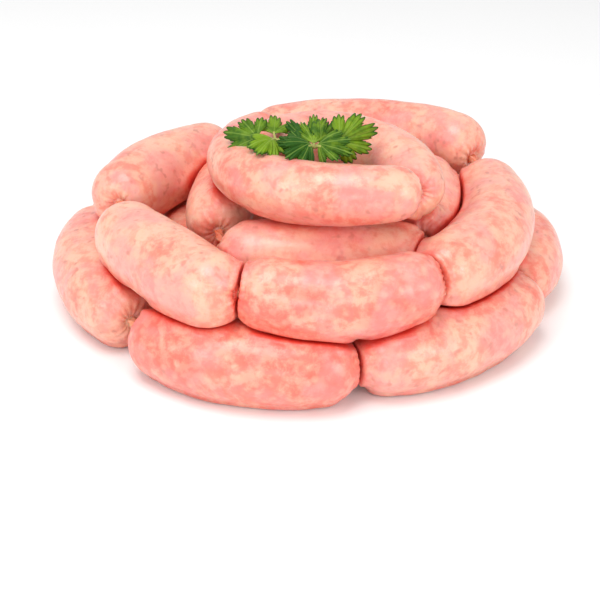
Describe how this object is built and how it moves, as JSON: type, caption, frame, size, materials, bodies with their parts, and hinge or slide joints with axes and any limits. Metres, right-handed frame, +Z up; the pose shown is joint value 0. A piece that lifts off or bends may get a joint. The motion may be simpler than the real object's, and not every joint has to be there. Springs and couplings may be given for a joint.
{
  "type": "string of sausage links",
  "caption": "Raw pork sausage links in one unbroken string, coiled in a round heap in tiers, with a sprig of parsley on top.",
  "frame": {"origin": "middle of the underside of the heap, on the surface that it lies on", "axes": "+Z up, -Y towards the front of the heap, +X along its width"},
  "size_m": [0.2318, 0.221, 0.0919],
  "materials": {
    "casing": "raw pale pink sausage meat under a thin moist casing, mottled cream and rose, softly glossy",
    "twisted_casing": "empty casing twisted tight, translucent cream to pink",
    "parsley": "fresh green leaves, satin"
  },
  "bodies": {
    "root": {"link_01": "casing", "link_02": "casing", "link_03": "casing", "link_04": "casing", "link_05": "casing", "link_06": "casing", "link_07": "casing", "link_08": "casing", "link_09": "casing", "link_10": "casing", "link_11": "casing", "link_12": "casing", "link_13": "casing", "link_14": "casing", "link_15": "casing", "link_16": "casing", "link_17": "casing", "link_18": "casing", "link_19": "casing", "link_20": "casing", "link_21": "casing", "link_22": "casing", "twist_01": "twisted_casing", "twist_02": "twisted_casing", "twist_03": "twisted_casing", "twist_04": "twisted_casing", "twist_05": "twisted_casing", "twist_06": "twisted_casing", "twist_07": "twisted_casing", "twist_08": "twisted_casing", "twist_09": "twisted_casing", "twist_10": "twisted_casing", "twist_11": "twisted_casing", "twist_12": "twisted_casing", "twist_13": "twisted_casing", "twist_14": "twisted_casing", "twist_15": "twisted_casing", "twist_16": "twisted_casing", "twist_17": "twisted_casing", "twist_18": "twisted_casing", "twist_19": "twisted_casing", "twist_20": "twisted_casing", "twist_21": "twisted_casing", "parsley_sprig": "parsley"}
  },
  "joints": []
}
